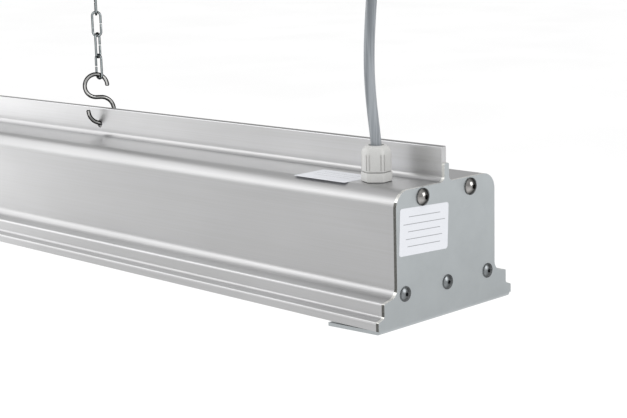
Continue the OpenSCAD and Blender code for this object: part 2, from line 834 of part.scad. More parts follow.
housing_profile();
end_plate_right();
end_plate_left();
upper_screws_right();
upper_screws_left();
lower_screws_right();
lower_screws_left();
cover_pane();
cover_seals();
light_boards();
light_chips();
board_screws();
driver_case();
driver_end_caps();
driver_screws();
terminal_block();
terminal_screws();
earth_screw();
supply_wires();
driver_wires();
output_wires();
wire_grommet();
gland_body();
gland_washer();
gland_locknut();
gland_seal();
gland_dome_nut();
cable_tail();
power_cable();
at_right() s_hook();  // s_hook_right
at_left() s_hook();  // s_hook_left
at_right() link_at(1);  // chain_link_2_right
at_right() link_at(2);  // chain_link_3_right
at_right() link_at(3);  // chain_link_4_right
at_left() link_at(1);  // chain_link_2_left
at_left() link_at(2);  // chain_link_3_left
at_left() link_at(3);  // chain_link_4_left
at_right() link_at(0);  // top_link_right
at_left() link_at(0);  // top_link_left
at_right() ceiling_hook();  // ceiling_hook_right
at_left() ceiling_hook();  // ceiling_hook_left
ceiling_outlet();
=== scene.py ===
# Hanging shop light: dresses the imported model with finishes, labels and small detail.
import bmesh
import bpy
import math
from mathutils import Matrix, Vector


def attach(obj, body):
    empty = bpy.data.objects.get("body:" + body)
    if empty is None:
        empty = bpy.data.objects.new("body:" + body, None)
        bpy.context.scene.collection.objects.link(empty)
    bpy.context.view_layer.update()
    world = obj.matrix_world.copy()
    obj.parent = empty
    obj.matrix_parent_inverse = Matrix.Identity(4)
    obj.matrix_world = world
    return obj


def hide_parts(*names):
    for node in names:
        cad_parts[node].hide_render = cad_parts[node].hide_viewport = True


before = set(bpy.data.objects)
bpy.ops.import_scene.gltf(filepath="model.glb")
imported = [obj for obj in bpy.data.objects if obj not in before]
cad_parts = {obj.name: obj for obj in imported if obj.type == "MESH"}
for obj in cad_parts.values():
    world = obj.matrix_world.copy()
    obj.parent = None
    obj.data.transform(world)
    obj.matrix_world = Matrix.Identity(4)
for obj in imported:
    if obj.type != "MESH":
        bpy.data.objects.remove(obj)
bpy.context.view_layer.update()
print("frame loaded")

mm = 0.001

viewpoint = {
    "place": (1.22808, -0.74381, 0.01535),
    "right": (0.70405, 0.70969, -0.02580),
    "up": (-0.11759, 0.15233, 0.98131),
    "lens": 83.64, "sensor": 36.0,  # mm
    "clip": (0.02, 200.0),  # m
}


def makeCamera(settings):
    data = bpy.data.cameras.new("photoCamera")
    data.lens = settings["lens"]
    data.sensor_width = settings["sensor"]
    data.clip_start, data.clip_end = settings["clip"]
    right, up = Vector(settings["right"]), Vector(settings["up"])
    back = right.cross(up)
    turned = Matrix((right, up, back)).transposed().to_4x4()
    camera = bpy.data.objects.new("photoCamera", data)
    camera.matrix_world = Matrix.Translation(settings["place"]) @ turned
    bpy.context.scene.collection.objects.link(camera)
    bpy.context.scene.camera = camera


makeCamera(viewpoint)
print("camera placed")


def linearColour(hexCode):
    parts = [int(hexCode[i:i + 2], 16) / 255 for i in (0, 2, 4)]
    return tuple(c / 12.92 if c <= 0.04045 else ((c + 0.055) / 1.055) ** 2.4 for c in parts) + (1.0,)


# kind is the node's type; inputs maps a socket to a value or to (node, output)
def addNode(tree, kind, inputs=None, **settings):
    node = tree.nodes.new(kind)
    for name, value in settings.items():
        setattr(node, name, value)
    for socket, value in (inputs or {}).items():
        if isinstance(value, tuple) and len(value) == 2 and hasattr(value[0], "outputs"):
            tree.links.new(value[0].outputs[value[1]], node.inputs[socket])
        else:
            node.inputs[socket].default_value = value
    return node


def calculate(tree, operation, *values):
    return addNode(tree, "ShaderNodeMath", dict(enumerate(values)), operation=operation)


# Sockets 6 and 7 of the mix node are its two colours, its output 2 is the mixed one
def mixColours(tree, share, first, second, **settings):
    return addNode(tree, "ShaderNodeMix", {"Factor": share, 6: first, 7: second},
                   data_type="RGBA", **settings)


# Carries a value from one span over to another and holds it there
def remap(tree, value, span, target, **settings):
    return addNode(tree, "ShaderNodeMapRange", {
        "Value": value, "From Min": span[0], "From Max": span[1],
        "To Min": target[0], "To Max": target[1]}, **settings)


# Noise over the piece itself; size is how large its spots are in mm along x, y and z
def addNoise(tree, size, **inputs):
    perMetre = tuple(1000.0 / length for length in size)
    scaled = addNode(tree, "ShaderNodeMapping", {
        "Vector": (tree.nodes["place"], "Object"), "Scale": perMetre})
    return addNode(tree, "ShaderNodeTexNoise", {"Vector": (scaled, "Vector"), "Scale": 1.0, **inputs})


# how rough the noise is, over which parts of it the tint and the gloss change, how strong the relief is
grainForm = {"roughness": 0.55, "tintSpan": (0.35, 0.65), "glossSpan": (0.3, 0.7), "skin": 0.5}


# A finish whose grain breaks up its colour, its gloss and its skin. rough is the span of its roughness,
# grain the size of the spots and relief their height in mm; sockets are the shader's own numbers
def makeFinish(name, dark, light, rough, grain, relief, detail=3.0, **sockets):
    material = bpy.data.materials.new(name)
    material.use_nodes = True
    tree = material.node_tree
    shader = tree.nodes["Principled BSDF"]
    for socket, value in sockets.items():
        shader.inputs[socket.replace("_", " ")].default_value = value
    addNode(tree, "ShaderNodeTexCoord", name="place")
    spots = addNoise(tree, grain, Detail=detail, Roughness=grainForm["roughness"])
    share = remap(tree, (spots, "Fac"), grainForm["tintSpan"], (0.0, 1.0))
    tint = mixColours(tree, (share, "Result"), linearColour(dark), linearColour(light), name="tint")
    gloss = remap(tree, (spots, "Fac"), grainForm["glossSpan"], rough)
    skin = addNode(tree, "ShaderNodeBump", {
        "Height": (spots, "Fac"), "Distance": relief * mm, "Strength": grainForm["skin"]})
    tree.links.new(tint.outputs[2], shader.inputs["Base Color"])
    tree.links.new(gloss.outputs["Result"], shader.inputs["Roughness"])
    tree.links.new(skin.outputs["Normal"], shader.inputs["Normal"])
    return material


# Multiplies a finish's colour by a shade
def shadeTint(tree, shade):
    toned = addNode(tree, "ShaderNodeVectorMath", {
        0: (tree.nodes["tint"], 2), "Scale": shade}, operation="SCALE")
    tree.links.new(toned.outputs["Vector"], tree.nodes["Principled BSDF"].inputs["Base Color"])


print("helpers ready")

# Extruded aluminium, naturally anodised: a matt silver sheen drawn out in fine lines along the length
aluminiumLook = {
    "wall": ("BBBBBB", "BFBFC0"), "rough": (0.33, 0.38), "relief": 0.004, "detail": 4.0,
    "lines": (160, 0.9, 0.9),  # mm; the real lines are finer, drawn as coarse as shows
    "finPaintedLight": 1.37, "finPaintedFade": 0.90,  # painted light: the fin is lifted above the walls' tone, and the lift fades upwards
    "finAbove": -0.1495, "wallBelow": -0.1545,  # heights in m between which the tone changes
    "finTop": -0.13285, "edgeShade": 0.50,  # painted shade: the fin's top edge is darkened above this height
    # slow drift of the tone along the extrusion
    "clouds": (90, 40, 40), "cloudDetail": 2.0, "cloudSpan": (0.3, 0.7), "cloudShade": (0.965, 1.02),
    # painted highlights along the skirt's outer corners: height and reach in m, and how much brighter
    "paintedHighlights": [(-0.24130, 0.0008, 0.22), (-0.22980, 0.0008, 0.34)],
}


def makeAluminium(look):
    material = makeFinish("anodisedAluminium", *look["wall"], look["rough"], look["lines"],
                          look["relief"], look["detail"], Metallic=1.0)
    tree = material.node_tree
    place = addNode(tree, "ShaderNodeSeparateXYZ", {"Vector": (tree.nodes["place"], "Object")})
    height = (place, "Z")
    # painted light: the fin is brighter than the walls and fades towards its top
    lift = remap(tree, height, (look["wallBelow"], look["finAbove"]), (1.0, look["finPaintedLight"]))
    clouds = addNoise(tree, look["clouds"], Detail=look["cloudDetail"])
    drift = remap(tree, (clouds, "Fac"), look["cloudSpan"], look["cloudShade"])
    # painted shade along the fin's top edge
    edge = calculate(tree, "GREATER_THAN", height, look["finTop"])
    topEdgeShade = remap(tree, (edge, "Value"), (0.0, 1.0), (1.0, look["edgeShade"]))
    fade = remap(tree, height, (look["finAbove"], look["finTop"]), (1.0, look["finPaintedFade"]))
    fin = calculate(tree, "MULTIPLY", (lift, "Result"), (fade, "Result"))
    both = calculate(tree, "MULTIPLY", (fin, "Value"), (drift, "Result"))
    shade = calculate(tree, "MULTIPLY", (both, "Value"), (topEdgeShade, "Result"))
    # painted highlights in thin bands at the skirt's outer corners
    for level, reach, gain in look["paintedHighlights"]:
        band = calculate(tree, "COMPARE", height, level, reach)
        shade = calculate(tree, "MULTIPLY_ADD", (band, "Value"), gain, (shade, "Value"))
    shadeTint(tree, (shade, "Value"))
    return material


aluminium = makeAluminium(aluminiumLook)

# Galvanised steel sheet: flat blue-grey with a faint patchwork of zinc crystals
sheetLook = {
    "tones": ("B6BBBD", "BABFC1"), "rough": (0.38, 0.42), "grain": (20, 20, 20), "relief": 0.01,
    "crystal": 4.0, "crystalShade": (0.99, 1.008),  # mm across a crystal, share of light it gives back
    "foot": -0.2497, "head": -0.157, "paintedHeightShade": (0.90, 1.08),  # painted shade: darker at the foot and lighter towards the head, heights in m
}


def makeSheet(look):
    material = makeFinish("galvanisedSheet", *look["tones"], look["rough"], look["grain"],
                          look["relief"], Metallic=1.0)
    tree = material.node_tree
    crystals = addNode(tree, "ShaderNodeTexVoronoi", {
        "Vector": (tree.nodes["place"], "Object"), "Scale": 1000.0 / look["crystal"]})
    grey = addNode(tree, "ShaderNodeRGBToBW", {"Color": (crystals, "Color")})
    patch = remap(tree, (grey, "Val"), (0.0, 1.0), look["crystalShade"])
    place = addNode(tree, "ShaderNodeSeparateXYZ", {"Vector": (tree.nodes["place"], "Object")})
    # painted shade: the sheet darkens towards its foot
    climb = remap(tree, (place, "Z"), (look["foot"], look["head"]), look["paintedHeightShade"])
    shade = calculate(tree, "MULTIPLY", (patch, "Result"), (climb, "Result"))
    shadeTint(tree, (shade, "Value"))
    return material


sheetSteel = makeSheet(sheetLook)
# Upright cut edges of the sheet: bare steel torn in short strokes, darkened with painted shade
shadedCutSteel = makeFinish("cutEdgePaintedShade", "565653", "757572", (0.34, 0.5), (0.5, 0.5, 1.5), 0.03, Metallic=1.0)
# Cut edges that face up: a painted highlight in bright steel
highlightedCutSteel = makeFinish("cutEdgePaintedHighlight", "DCDCD8", "F2F2EE", (0.26, 0.34), (0.5, 1.5, 0.5), 0.01, Metallic=1.0)


# Polished metal whose colour runs to a painted dark reflection where it turns away from the eye; turning
# says from where to where that happens, 0 facing the eye and 1 edge on
def makePolished(name, dark, light, paintedFlank, rough, grain, turning=(0.06, 0.5)):
    material = makeFinish(name, dark, light, rough, grain, relief=0.004, Metallic=1.0)
    tree = material.node_tree
    facing = addNode(tree, "ShaderNodeLayerWeight", {"Blend": 0.5})
    # painted reflection: the colour darkens as the surface turns away from the eye
    away = remap(tree, (facing, "Facing"), turning, (0.0, 1.0), interpolation_type="SMOOTHSTEP")
    turned = mixColours(tree, (away, "Result"), (tree.nodes["tint"], 2), linearColour(paintedFlank))
    tree.links.new(turned.outputs[2], tree.nodes["Principled BSDF"].inputs["Base Color"])
    return material


# Turned stainless steel: mirror bright on the domes, with a painted near-black reflection where it turns away
screwSteel = makePolished("polishedScrew", "9C9A98", "B2B0AE", "181818", (0.1, 0.16), (2, 2, 2))
# Pressed stainless button heads: duller and flatter in tone, with a painted dark reflection at the edges
buttonSteel = makePolished("buttonScrew", "83878A", "909496", "4A4C4D", (0.26, 0.34), (1.2, 1.2, 1.2))
# Bright drawn steel wire: sharp highlights between painted dark reflections on the flanks
hookSteel = makePolished("brightSteelWire", "C6C6C4", "E0E0DE", "141413", (0.08, 0.14), (3, 3, 3),
                         turning=(0.0, 0.17))
# Bright zinc plating: cool grey with soft spots, and a painted dark reflection on the flanks
chainZinc = makePolished("zincPlatedChain", "A9B1B3", "C2C9CB", "23282A", (0.12, 0.22), (2, 2, 2),
                         turning=(0.0, 0.3))
# Machined brass: warm yellow, fine turned grain
brass = makeFinish("machinedBrass", "B08D45", "C9A65C", (0.22, 0.32), (1, 1, 1), 0.004, Metallic=1.0)
# Pressed aluminium case of the driver: brushed and a little dull
caseMetal = makeFinish("brushedCase", "A9ABAD", "B9BBBD", (0.32, 0.44), (40, 0.8, 0.8), 0.01, Metallic=1.0)
# Moulded polyamide: light grey with a soft eggshell sheen
nylon = makeFinish("greyPolyamide", "BDBDBB", "C6C6C4", (0.34, 0.44), (0.6, 0.6, 0.6), 0.01, IOR=1.53)
# Extruded PVC jacket: satin grey, with long faint streaks along the cable
pvcJacket = makeFinish("pvcJacket", "73787D", "969BA0", (0.34, 0.44), (2.2, 2.2, 60), 0.12, 2.0, IOR=1.53)
# Coated label film: cool white with a slight gloss
labelFilm = makeFinish("labelFilm", "D3D5DA", "D9DBE0", (0.36, 0.44), (0.5, 0.5, 0.5), 0.002, IOR=1.5)
# Printed ruling: a thin flat grey
labelInk = makeFinish("labelRuling", "8E9094", "9A9CA0", (0.45, 0.55), (0.4, 0.4, 0.4), 0.002, IOR=1.5)
# Black EPDM: matt, slightly chalky
sealRubber = makeFinish("sealRubber", "1C1C1D", "28282A", (0.56, 0.68), (0.8, 0.8, 0.8), 0.02, IOR=1.52)
# White solder mask over glass fibre: bright and glossy, with a faint weave
solderMask = makeFinish("solderMask", "E9EAE8", "F4F5F3", (0.24, 0.32), (0.6, 0.6, 0.6), 0.006, IOR=1.5)
# Light source package: matt white moulding
chipPackage = makeFinish("chipPackage", "E6E4DC", "EFEDE6", (0.45, 0.55), (0.4, 0.4, 0.4), 0.006, IOR=1.5)
# Phosphor under silicone: deep yellow, glassy
phosphor = makeFinish("phosphorResin", "D9B73A", "E8CB55", (0.12, 0.2), (0.5, 0.5, 0.5), 0.004, IOR=1.43)
# Moulded black ABS caps
capPlastic = makeFinish("blackAbs", "2A2B2D", "343538", (0.42, 0.5), (0.7, 0.7, 0.7), 0.015, IOR=1.54)
# Ivory polycarbonate of the terminal block
blockPlastic = makeFinish("ivoryPolycarbonate", "DDD8C6", "E7E2D1", (0.32, 0.4), (0.7, 0.7, 0.7), 0.006,
                          IOR=1.58)
# Brown core insulation
coreInsulation = makeFinish("coreInsulation", "6A4325", "7A5030", (0.36, 0.44), (1.5, 1.5, 1.5), 0.006,
                            IOR=1.53)
# White ABS of the ceiling outlet: smooth, with a weak sheen
outletPlastic = makeFinish("whiteAbs", "E6E6E3", "EEEEEB", (0.32, 0.4), (0.7, 0.7, 0.7), 0.006, IOR=1.54)
# Clear acrylic: scratches along the length catch the light, the face lets it through
acrylic = makeFinish("clearAcrylic", "F2F6F6", "F8FBFB", (0.02, 0.07), (30, 0.5, 30), 0.0005, 2.0,
                     IOR=1.49, Transmission_Weight=1.0)
print("finishes ready")

supplyCable = {
    # in m, from inside the gland's dome to the ceiling outlet, as in the part's source
    "diameter": 0.0074,
    "length": 0.125,
    "start": (0.5605, -0.027, -0.1337815),
    "lead": 0.002,  # straight through the dome's mouth
    "rise": 0.1227815,  # from there up into the ceiling outlet
    "bow": 0.0026,  # sideways, along the lamp and across it
    "skew": 0.85, "ease": 1.5,  # the bow is fullest below the middle and starts and ends gently
    "points": 16, "roundness": 10, "smoothness": 6,
}


def cableRoute(settings):
    x, y, z = settings["start"]
    route = [settings["start"]]
    for i in range(settings["points"] + 1):
        t = i / settings["points"]
        bow = settings["bow"] * max(0.0, math.sin(math.pi * t ** settings["skew"])) ** settings["ease"]
        route.append((x - bow, y - bow, z + settings["lead"] + settings["rise"] * t))
    return route


def makeCable(settings, material):
    data = bpy.data.curves.new("supplyCable", "CURVE")
    data.dimensions = "3D"
    data.bevel_depth = settings["diameter"] / 2
    data.bevel_resolution = settings["roundness"]
    data.use_fill_caps = True
    data.resolution_u = settings["smoothness"]
    spline = data.splines.new("BEZIER")
    route = cableRoute(settings)
    spline.bezier_points.add(len(route) - 1)
    for knot, place in zip(spline.bezier_points, route):
        knot.co = place
        knot.handle_left_type = knot.handle_right_type = "AUTO"
    data.materials.append(material)
    cable = bpy.data.objects.new("supplyCable", data)
    bpy.context.scene.collection.objects.link(cable)
    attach(cable, "lamp")
    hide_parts("power_cable")


makeCable(supplyCable, pvcJacket)
print("supply cable laid")


def linkMesh(name, mesh, *materials):
    for material in materials:
        mesh.materials.append(material)
    piece = bpy.data.objects.new(name, mesh)
    bpy.context.scene.collection.objects.link(piece)
    return piece


# The mesh that a piece's modifiers lead to
def shapedMesh(piece):
    bpy.context.view_layer.update()
    return bpy.data.meshes.new_from_object(piece.evaluated_get(bpy.context.evaluated_depsgraph_get()))


# Turns a piece's modifiers into plain mesh
def settle(piece):
    mesh = shapedMesh(piece)
    piece.modifiers.clear()
    piece.data = mesh


# Smooth over the curves, crisp at corners of more than so many degrees
def smoothMesh(mesh, sharp):
    mesh.shade_smooth()
    mesh.set_sharp_from_angle(angle=math.radians(sharp))


# mm within which vertices merge, degrees within which faces are one, degrees from which edges are rounded
copyForm = {"merge": 0.002, "flat": 0.6, "corner": 45, "segments": 2}


# A merged copy of a CAD node, its corners rounded by edge in mm
def smoothCopy(nodeName, pieceName, material, body, sharp, edge):
    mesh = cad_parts[nodeName].data.copy()
    mesh.materials.clear()
    shape = bmesh.new()
    shape.from_mesh(mesh)
    bmesh.ops.remove_doubles(shape, verts=shape.verts, dist=copyForm["merge"] * mm)
    bmesh.ops.dissolve_limit(shape, angle_limit=math.radians(copyForm["flat"]),
                             verts=shape.verts, edges=shape.edges)
    shape.to_mesh(mesh)
    shape.free()
    smoothMesh(mesh, sharp)
    piece = linkMesh(pieceName, mesh, material)
    bevel = piece.modifiers.new("edges", "BEVEL")
    bevel.width = edge * mm
    bevel.segments = copyForm["segments"]
    bevel.limit_method = "ANGLE"
    bevel.angle_limit = math.radians(copyForm["corner"])
    bevel.harden_normals = True
    weighted = piece.modifiers.new("flatFaces", "WEIGHTED_NORMAL")
    weighted.keep_sharp = True
    settle(piece)
    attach(piece, body)
    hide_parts(nodeName)
    return piece


def paintNode(nodeName, material):
    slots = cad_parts[nodeName].data.materials
    slots.clear()
    slots.append(material)


# Skins stacked rows of vertices into one closed body and puts it in place
def closeRows(name, shape, rows, matrix):
    count = len(rows[0])
    for low, high in zip(rows, rows[1:]):
        for k in range(count):
            shape.faces.new((low[k], low[(k + 1) % count], high[(k + 1) % count], high[k]))
    shape.faces.new(list(reversed(rows[0])))
    shape.faces.new(rows[-1])
    bmesh.ops.recalc_face_normals(shape, faces=shape.faces)
    shape.transform(matrix)
    mesh = bpy.data.meshes.new(name)
    shape.to_mesh(mesh)
    shape.free()
    return mesh


# A closed body of stacked rings along an axis; each ring is (height, radius function of the angle), in mm
def ringBody(name, rings, sides, matrix, sharp=32):
    shape = bmesh.new()
    angles = [2 * math.pi * k / sides for k in range(sides)]
    rows = []
    for height, radius in rings:
        polar = [(a, radius(a) * mm) for a in angles]
        rows.append([shape.verts.new((r * math.cos(a), r * math.sin(a), height * mm)) for a, r in polar])
    mesh = closeRows(name, shape, rows, matrix)
    smoothMesh(mesh, sharp)
    return mesh


def roundRing(radius):
    return lambda angle: radius


def roundRings(*pairs):
    return [(height, roundRing(radius)) for height, radius in pairs]


# How far an angle is from the middle of the nearest of six flats
def offFlat(angle, turn):
    return (angle - turn + math.pi / 6) % (math.pi / 3) - math.pi / 6


def hexRing(flats, turn=0.0, corner=math.inf):
    return lambda angle: min(flats / 2 / math.cos(offFlat(angle, turn)), corner)


def newTree(name, sizes):
    tree = bpy.data.node_groups.new(name, "GeometryNodeTree")
    tree.interface.new_socket("Geometry", in_out="INPUT", socket_type="NodeSocketGeometry")
    for label, kind in sizes:
        tree.interface.new_socket(label, in_out="INPUT", socket_type="NodeSocket" + kind)
    tree.interface.new_socket("Geometry", in_out="OUTPUT", socket_type="NodeSocketGeometry")
    return tree, tree.nodes.new("NodeGroupInput")


def closeTree(tree, source, inputs):
    real = addNode(tree, "GeometryNodeRealizeInstances", {"Geometry": source})
    painted = addNode(tree, "GeometryNodeSetMaterial", {
        "Geometry": (real, "Geometry"), "Material": (inputs, "Material")})
    addNode(tree, "NodeGroupOutput", {"Geometry": (painted, "Geometry")})


# Puts a tree on a piece, with the tree's inputs given by name
def useTree(tree, piece, values):
    modifier = piece.modifiers.new(tree.name, "NODES")
    modifier.node_group = tree
    for item in tree.interface.items_tree:
        if item.item_type == "SOCKET" and item.in_out == "INPUT" and item.name in values:
            modifier[item.identifier] = values[item.name]


# Runs a tree on a piece and keeps the result as plain mesh
def runTree(tree, piece, values, sharp=32):
    useTree(tree, piece, values)
    settle(piece)
    if sharp:
        smoothMesh(piece.data, sharp)
    return piece


def pointPiece(name, places, turns=None):
    mesh = bpy.data.meshes.new(name)
    mesh.from_pydata(places, [], [])
    turning = mesh.attributes.new("turn", "FLOAT_VECTOR", "POINT")
    for i in range(len(places)):
        turning.data[i].vector = turns[i] if turns else (0, 0, 0)
    return linkMesh(name, mesh)


# Puts a shape at every point, turned by the point's own angles
def makeScatterTree():
    tree, inputs = newTree("placeCopies", [("Shape", "Object"), ("Material", "Material")])
    turn = addNode(tree, "GeometryNodeInputNamedAttribute", {"Name": "turn"}, data_type="FLOAT_VECTOR")
    shape = addNode(tree, "GeometryNodeObjectInfo", {"Object": (inputs, "Shape")})
    copies = addNode(tree, "GeometryNodeInstanceOnPoints", {
        "Points": (inputs, "Geometry"), "Instance": (shape, "Geometry"), "Rotation": (turn, "Attribute")})
    closeTree(tree, (copies, "Instances"), inputs)
    return tree


# Sweeps a round wire along the input curve, as thick as each of its points says
def makeWireTree():
    tree, inputs = newTree("bendWire", [("Diameter", "Float"), ("Sides", "Int"), ("Material", "Material")])
    radius = calculate(tree, "MULTIPLY", (inputs, "Diameter"), 0.5)
    ring = addNode(tree, "GeometryNodeCurvePrimitiveCircle", {
        "Resolution": (inputs, "Sides"), "Radius": (radius, "Value")})
    taper = addNode(tree, "GeometryNodeInputRadius")
    wire = addNode(tree, "GeometryNodeCurveToMesh", {
        "Curve": (inputs, "Geometry"), "Profile Curve": (ring, "Curve"),
        "Scale": (taper, "Radius"), "Fill Caps": True})
    closeTree(tree, (wire, "Mesh"), inputs)
    return tree


scatterTree = makeScatterTree()
wireTree = makeWireTree()
print("trees ready")

housing = {"edge": 0.25, "sharp": 28}  # mm of broken edge at the sawn ends and holes, degrees of a corner
smoothCopy("housing_profile", "extrudedHousing", aluminium, "lamp", housing["sharp"], housing["edge"])

plates = {
    "edge": 0.45, "sharp": 30,  # mm of rounding on the punched edges, degrees of a corner
    "face": 597.4, "corner": -160.0,  # mm; place of the inner faces, height of the upper corners
    "cut": 0.97, "upright": 0.9, "upwards": -0.1,  # how squarely a face points along x, along y and up
}


# The faces across the sheet's thickness show bare steel, with painted shade where they stand upright
# and a painted highlight where they look up
def showCutEdges(piece, settings):
    piece.data.materials.append(shadedCutSteel)
    piece.data.materials.append(highlightedCutSteel)
    for face in piece.data.polygons:
        if abs(face.normal.x) < settings["cut"] and abs(face.center.x) > settings["face"] * mm:
            upright = abs(face.normal.y) > settings["upright"] and face.center.z < settings["corner"] * mm
            # painted shade on upright cut faces, a painted highlight on those that look up
            face.material_index = 1 if upright else 2 if face.normal.z > settings["upwards"] else 0


for side in ("right", "left"):
    showCutEdges(smoothCopy("end_plate_" + side, "endPlate_" + side, sheetSteel, "lamp",
                            plates["sharp"], plates["edge"]), plates)
print("housing and end plates dressed")

lampHeight = -249.6815  # mm, height of the end plates' lower edge
lampEnd = 600.0  # mm, from the middle to the end plates' outer faces

# mm across the head and over the plate, how much narrower the dome is than the head, the socket's
# flats and depth, length and radius of the shank, and where the screws stand on the plate
upperScrews = {"head": 12.0, "height": 3.6, "rim": 0.3, "socket": 3.0, "depth": 2.6, "shank": (22.0, 2.5),
               "places": [(-24.9, 86.5), (24.9, 86.5)]}
lowerScrews = {"head": 10.5, "height": 1.8, "rim": 0.8, "socket": 2.5, "depth": 2.5, "shank": (22.0, 2.5),
               "places": [(-43.4, 23.5), (0.0, 23.5), (43.4, 23.5)]}
# mm: taper and length of the shank's tip, broken edges of the rim, room round the socket, its lip, and
# the drill's point at its bottom; rimShare is the rim's share of the head's height
screwForm = {"tip": (0.4, 0.8), "rimShare": 0.25, "rimBreak": 0.15, "rimTop": 0.12, "socketWall": 0.35,
             "socketLip": 0.25, "drillPoint": 0.5, "drillTip": 0.2, "domeSteps": 7, "sides": 48,
             "spin": 0.35}  # each socket stops at its own angle


# A domed socket head on its rim, with a short shank behind it, standing along +X
def screwShape(name, settings):
    form, socket = screwForm, settings["socket"]
    head, height = settings["head"] / 2, settings["height"]
    rim = height * form["rimShare"]
    (long, thick), (taper, tip), edge = settings["shank"], form["tip"], form["rimBreak"]
    dome = head - settings["rim"]
    rings = roundRings((-long, thick - taper), (-long + tip, thick), (0.0, thick),
                       (0.0, head - edge), (edge, head), (rim - edge, head),
                       (rim, head - form["rimTop"]), (rim, dome))
    cap = height - rim
    ball = (dome ** 2 + cap ** 2) / (2 * cap)
    mouth = socket / 2 / math.cos(math.pi / 6) + form["socketWall"]
    for i in range(1, form["domeSteps"] + 1):
        reach = dome + (mouth - dome) * i / form["domeSteps"]
        rings.append((height - ball + math.sqrt(ball ** 2 - reach ** 2), roundRing(reach)))
    bottom = height - settings["depth"]
    rings += [(height - form["socketLip"], hexRing(socket)), (bottom, hexRing(socket)),
              (bottom - form["drillPoint"], roundRing(form["drillTip"]))]
    return linkMesh(name, ringBody(name, rings, form["sides"], Matrix.Rotation(math.pi / 2, 4, "Y")))


# Copies one screw to every place and returns all of them as one piece
def scatterScrews(name, settings, places, turns, material):
    shape = screwShape(name + "Shape", settings)
    screws = runTree(scatterTree, pointPiece(name, places, turns), {"Shape": shape, "Material": material})
    bpy.data.objects.remove(shape)
    return screws


def placeScrews(name, settings, nodes, material):
    places, turns = [], []
    for end in (1, -1):
        for y, z in settings["places"]:
            places.append((end * lampEnd * mm, y * mm, (lampHeight + z) * mm))
            turns.append((screwForm["spin"] * y, 0.0, 0.0 if end > 0 else math.pi))
    screws = scatterScrews(name, settings, places, turns, material)
    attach(screws, "lamp")
    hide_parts(*nodes)


placeScrews("upperScrews", upperScrews, ("upper_screws_right", "upper_screws_left"), screwSteel)
placeScrews("lowerScrews", lowerScrews, ("lower_screws_right", "lower_screws_left"), buttonSteel)
print("end screws placed")

gland = {
    "axis": (560.5, -27.0), "foot": -156.0815,  # mm; the foot is the washer's upper face
    "turn": -52.0, "flats": 19.0, "baseWidth": 21.5, "baseHeight": 6.4,
    # the base from its foot up: height, what its flats lose and what its corners lose
    "baseRings": [(0.0, 0.5, 0.5), (0.25, 0.0, 0.05), (5.9, 0.0, 0.0), (6.28, 0.35, 0.3), (6.4, 0.9, 0.6)],
    "domeGap": 0.5, "domeHeight": 17.7, "domeWidth": 20.7, "mouth": 10.6,
    "flutes": 4.0, "fluteWidth": 1.1, "fluteDepth": 0.9,  # mm; two flutes frame each flat
    "fluteEdge": 4,  # the higher, the steeper a flute's sides
    # the nut's side up to its shoulder: height, scale and share of the flutes' depth
    "nutRings": [(0.0, 0.975, 0.0), (0.35, 1.0, 0.0), (1.0, 1.0, 0.0), (1.01, 1.0, 1.0),
                 (10.6, 1.0, 1.0), (11.6, 0.995, 0.7), (12.3, 0.985, 0.0)],
    "crown": 0.55, "crownSteps": 8,  # mm that the round crown stands back from the shoulder
    "mouthRings": [(0.1, 0.05), (1.7, 0.1)],  # mm below the nut's top, mm narrower than its mouth
    # the seal from the base's top up: height and radius
    "sealRings": [(0.0, 6.1), (15.2, 6.1), (16.0, 5.15), (17.0, 5.15), (17.2, 4.75), (17.05, 3.85),
                  (16.2, 3.75)],
    "baseSides": 96, "baseSharp": 28, "nutSides": 288, "nutSharp": 30, "lipSides": 48,
}


# Where a body stands that starts so many mm above the gland's foot
def onGland(settings, lift):
    x, y = settings["axis"]
    return Matrix.Translation((x * mm, y * mm, (settings["foot"] + lift) * mm))


def glandBase(settings):
    turn, flats, wide = math.radians(settings["turn"]), settings["flats"], settings["baseWidth"] / 2
    rings = [(height, hexRing(flats - flatLoss, turn, wide - cornerLoss))
             for height, flatLoss, cornerLoss in settings["baseRings"]]
    mesh = ringBody("glandBase", rings, settings["baseSides"], onGland(settings, 0.0), settings["baseSharp"])
    piece = linkMesh("glandBase", mesh, nylon)
    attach(piece, "lamp")
    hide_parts("gland_body")


# The dome nut: a round cap with six flats, each between two flutes
def domeNut(settings):
    turn = math.radians(settings["turn"])
    high, wide, mouth = settings["domeHeight"], settings["domeWidth"] / 2, settings["mouth"] / 2
    plain = hexRing(settings["flats"], turn, wide)

    def fluted(scale, share):
        def radius(angle):
            across = abs(abs(plain(angle) * math.sin(offFlat(angle, turn))) - settings["flutes"])
            cut = max(0.0, 1.0 - (across / (settings["fluteWidth"] / 2)) ** settings["fluteEdge"])
            return (plain(angle) - settings["fluteDepth"] * share * cut) * scale
        return radius

    # the flats fade away from the shoulder to the mouth
    def crowned(reach, left):
        return lambda angle: reach + (plain(angle) - wide + settings["crown"]) * left

    rings = [(height, fluted(scale, share)) for height, scale, share in settings["nutRings"]]
    shoulder, narrowed = settings["nutRings"][-1][:2]
    wall = narrowed * wide - settings["crown"]
    for i in range(1, settings["crownSteps"] + 1):
        part = i / settings["crownSteps"]
        angle = math.pi / 2 * part
        reach = wall - (wall - mouth) * (1 - math.cos(angle))
        rings.append((shoulder + (high - shoulder) * math.sin(angle), crowned(reach, 1 - part)))
    rings += roundRings(*((high - drop, mouth - inset) for drop, inset in settings["mouthRings"]))
    where = onGland(settings, settings["baseHeight"] + settings["domeGap"])
    mesh = ringBody("domeNut", rings, settings["nutSides"], where, settings["nutSharp"])
    piece = linkMesh("domeNut", mesh, nylon)
    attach(piece, "lamp")
    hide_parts("gland_dome_nut")


